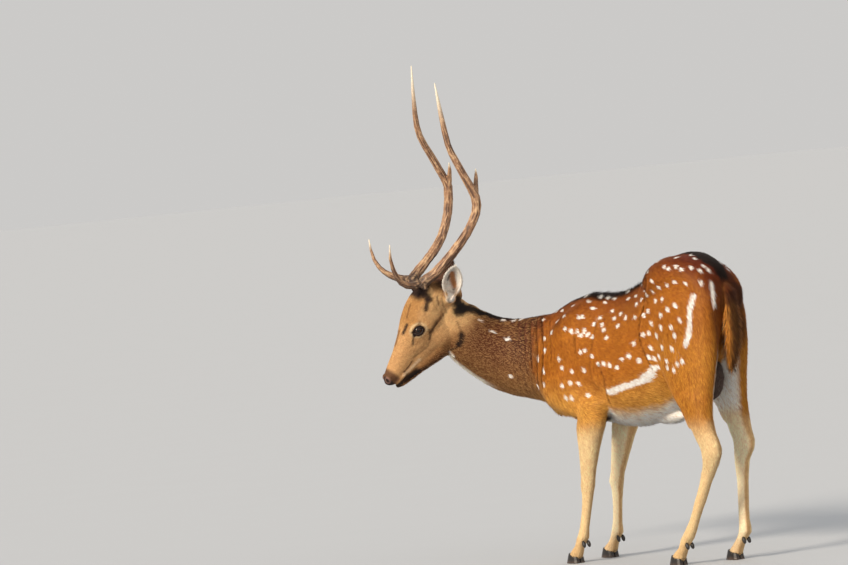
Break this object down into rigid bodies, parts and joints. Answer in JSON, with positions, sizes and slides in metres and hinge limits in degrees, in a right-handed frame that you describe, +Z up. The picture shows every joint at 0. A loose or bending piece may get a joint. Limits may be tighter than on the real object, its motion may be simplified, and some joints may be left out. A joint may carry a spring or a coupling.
{
  "type": "life-size chital deer model",
  "caption": "Life-size still model of a standing chital stag, neck swung to its left and head lowered, with tall branched antlers, cupped ears and a long tail.",
  "frame": {"origin": "centre of the bounding box, at the level of the soles", "axes": "+Z up, trunk along Y with the head end towards -Y, the animal's left towards +X"},
  "size_m": [0.6316, 1.2266, 1.6402],
  "materials": {
    "coat": "short red-brown fur with cream spots",
    "neck_coat": "coarse grey-brown fur",
    "face_coat": "very short buff fur",
    "leg_coat": "short buff fur",
    "horn": "dark hoof horn, satin",
    "antler": "furrowed brown antler with pale tips",
    "eye": "dark, wet gloss",
    "skin": "grey-brown, thinly haired"
  },
  "bodies": {
    "root": {"torso": "coat", "neck": "neck_coat", "head": "face_coat", "ear_left": "face_coat", "ear_right": "face_coat", "eye_left": "eye", "eye_right": "eye", "tail": "coat", "scrotum": "skin", "upper_leg_fore_left": "leg_coat", "upper_leg_fore_right": "leg_coat", "upper_leg_hind_left": "leg_coat", "upper_leg_hind_right": "leg_coat", "lower_leg_fore_left": "leg_coat", "lower_leg_fore_right": "leg_coat", "lower_leg_hind_left": "leg_coat", "lower_leg_hind_right": "leg_coat", "claw_fore_left_inner": "horn", "claw_fore_left_outer": "horn", "claw_fore_right_inner": "horn", "claw_fore_right_outer": "horn", "claw_hind_left_inner": "horn", "claw_hind_left_outer": "horn", "claw_hind_right_inner": "horn", "claw_hind_right_outer": "horn", "dewclaw_fore_left_inner": "horn", "dewclaw_fore_left_outer": "horn", "dewclaw_fore_right_inner": "horn", "dewclaw_fore_right_outer": "horn", "dewclaw_hind_left_inner": "horn", "dewclaw_hind_left_outer": "horn", "dewclaw_hind_right_inner": "horn", "dewclaw_hind_right_outer": "horn", "antler_left_base": "antler", "antler_left_beam": "antler", "antler_left_fork": "antler", "antler_left_top": "antler", "antler_left_brow_tine": "antler", "antler_left_inner_tine": "antler", "antler_right_base": "antler", "antler_right_beam": "antler", "antler_right_fork": "antler", "antler_right_top": "antler", "antler_right_brow_tine": "antler", "antler_right_inner_tine": "antler"}
  },
  "joints": []
}
